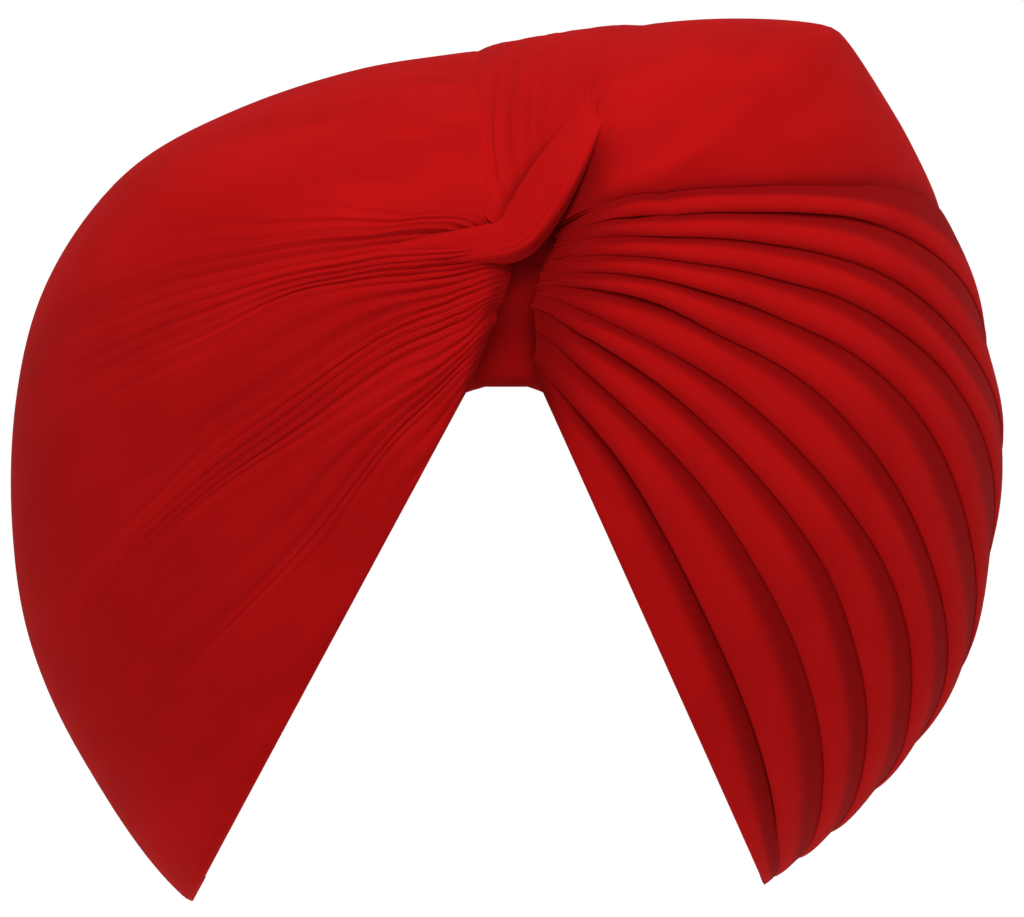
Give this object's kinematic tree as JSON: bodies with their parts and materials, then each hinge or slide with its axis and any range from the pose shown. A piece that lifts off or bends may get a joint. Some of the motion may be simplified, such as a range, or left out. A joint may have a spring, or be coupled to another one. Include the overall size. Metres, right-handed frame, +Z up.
{
  "type": "turban",
  "caption": "Wound cloth turban with pleated right side, gathered left side, twisted front knot and open head hollow.",
  "frame": {"origin": "middle of the head opening, level with the lower hem of the brow band", "axes": "+X to the wearer's left (the viewer's right), +Y to the back of the head, +Z up"},
  "size_m": [0.2776, 0.2428, 0.2552],
  "materials": {
    "outer_voile": "matte fine cotton voile",
    "inner_voile": "matte fine cotton voile, in shade"
  },
  "bodies": {
    "root": {"left_wrap": "outer_voile", "tucked_tail": "outer_voile", "top_wrap": "outer_voile", "front_twist": "outer_voile", "right_pleat_1": "outer_voile", "right_pleat_2": "outer_voile", "right_pleat_3": "outer_voile", "right_pleat_4": "outer_voile", "right_pleat_5": "outer_voile", "right_pleat_6": "outer_voile", "right_pleat_7": "outer_voile", "right_pleat_8": "outer_voile", "right_pleat_9": "outer_voile", "right_pleat_10": "outer_voile", "inner_wraps": "inner_voile", "brow_band": "inner_voile"}
  },
  "joints": []
}
